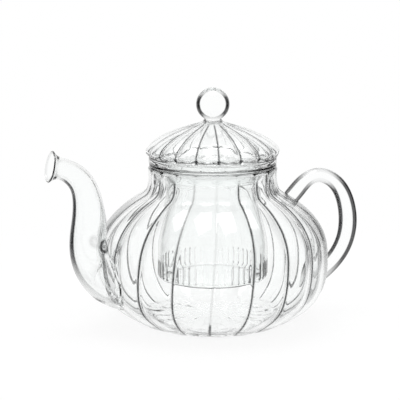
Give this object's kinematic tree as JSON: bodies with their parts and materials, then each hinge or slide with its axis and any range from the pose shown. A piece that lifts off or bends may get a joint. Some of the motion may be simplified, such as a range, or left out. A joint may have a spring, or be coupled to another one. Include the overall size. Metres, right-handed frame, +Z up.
{
  "type": "glass teapot",
  "caption": "Clear fluted glass teapot with curved spout, loop handle, lift-out slit infuser and domed lid with ball knob.",
  "frame": {"origin": "on the pot's axis, in the plane of its foot", "axes": "+Z up along the pot's axis, +X towards the handle, -X towards the spout"},
  "size_m": [0.1914, 0.1336, 0.1391],
  "materials": {
    "pot_glass": "clear, polished",
    "infuser_glass": "clear, polished",
    "lid_glass": "clear, polished"
  },
  "bodies": {
    "pot": {"pot_body": "pot_glass", "spout": "pot_glass", "handle": "pot_glass"},
    "infuser": {"infuser": "infuser_glass"},
    "lid": {"lid_collar": "lid_glass", "lid_dome": "lid_glass", "lid_knob": "lid_glass"}
  },
  "joints": [
    {"name": "infuser_lift", "type": "slide", "parent": "pot", "child": "infuser", "axis": [0, 0, 1], "range_m": [0, 0.085]},
    {"name": "lid_lift", "type": "slide", "parent": "infuser", "child": "lid", "axis": [0, 0, 1], "range_m": [0, 0.05]}
  ]
}
